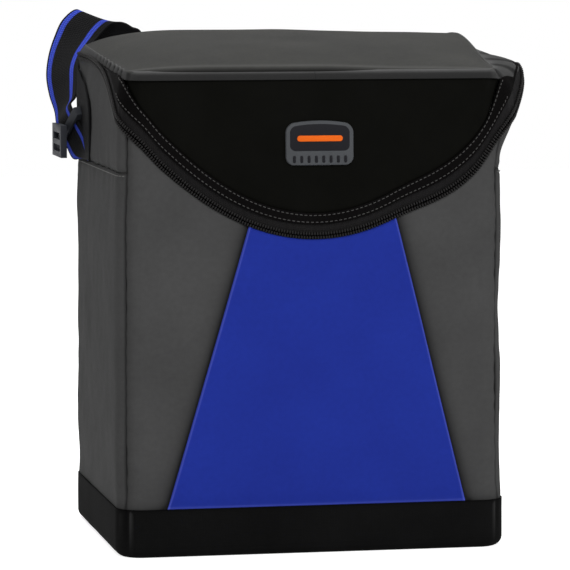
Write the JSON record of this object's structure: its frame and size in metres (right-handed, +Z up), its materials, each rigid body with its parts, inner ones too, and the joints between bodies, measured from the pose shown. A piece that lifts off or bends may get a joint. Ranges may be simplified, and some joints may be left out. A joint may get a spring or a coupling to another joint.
{
  "type": "insulated lunch bag",
  "caption": "Soft insulated lunch bag with a padded body, zipped domed lid with a front flap, black boot and a striped webbing shoulder strap with an adjuster.",
  "frame": {"origin": "On the floor under the middle of the bag's base", "axes": "+Z up, the front with the blue panel faces -Y, +X is to the right seen from the front"},
  "size_m": [0.3209, 0.264, 0.3807],
  "materials": {
    "grey_fabric": "coated polyester weave, semi-matte",
    "blue_fabric": "fine polyester weave, matte",
    "black_fabric": "polyester weave, matte",
    "boot_fabric": "heavy coated weave, matte",
    "webbing": "ribbed polypropylene webbing with two blue stripes",
    "foam": "closed-cell foam",
    "liner_film": "smooth grey liner film",
    "board_plastic": "stiff sheet",
    "coil_plastic": "moulded coil",
    "slider_metal": "black enamel",
    "buckle_plastic": "fine texture",
    "badge_rubber": "soft moulded rubber",
    "inlay_rubber": "soft moulded rubber"
  },
  "bodies": {
    "bag": {"front_panel_left": "grey_fabric", "front_panel_centre": "blue_fabric", "front_panel_right": "grey_fabric", "side_panel_left": "grey_fabric", "side_panel_right": "grey_fabric", "side_yoke_left": "grey_fabric", "side_yoke_right": "grey_fabric", "back_panel": "grey_fabric", "base_boot": "boot_fabric", "base_board": "board_plastic", "foam_front": "foam", "foam_back": "foam", "foam_left": "foam", "foam_right": "foam", "foam_base": "foam", "inner_liner": "liner_film", "hinge_welt": "black_fabric", "zipper_tape_body": "black_fabric", "zipper_teeth_body": "coil_plastic", "zipper_end_stops": "coil_plastic", "strap_end_left": "webbing", "strap_end_right": "webbing"},
    "lid": {"lid_top_panel": "grey_fabric", "lid_flap": "black_fabric", "lid_gusset_left": "grey_fabric", "lid_gusset_right": "grey_fabric", "lid_trim": "black_fabric", "lid_foam": "foam", "lid_liner": "liner_film", "zipper_tape_lid": "black_fabric", "zipper_teeth_lid": "coil_plastic", "badge_patch": "badge_rubber", "badge_inlay": "inlay_rubber"},
    "slider": {"slider_body": "slider_metal"},
    "pull": {"slider_pull": "slider_metal"},
    "strap": {"strap_loop": "webbing"},
    "adjuster": {"strap_adjuster": "buckle_plastic"}
  },
  "joints": [
    {"name": "lid_hinge", "type": "hinge", "parent": "bag", "child": "lid", "pos_m": [0, 0.106, 0.352], "axis": [-1, 0, 0], "range_deg": [0, 95]},
    {"name": "slider_travel", "type": "slide", "parent": "bag", "child": "slider", "axis": [0, -0.9903, -0.1386], "range_m": [0, 0.06]},
    {"name": "pull_flip", "type": "hinge", "parent": "slider", "child": "pull", "pos_m": [0.1431, 0.078, 0.34808], "axis": [0, -0.1386, 0.9903], "range_deg": [0, 160]},
    {"name": "strap_swing", "type": "hinge", "parent": "bag", "child": "strap", "pos_m": [-0.1, 0.141, 0.3745], "axis": [0.9855, 0, -0.1695], "range_deg": [0, 50]},
    {"name": "adjuster_slide", "type": "slide", "parent": "bag", "child": "adjuster", "axis": [-0.3293, 0.5488, 0.7683], "range_m": [0, 0.006]}
  ]
}
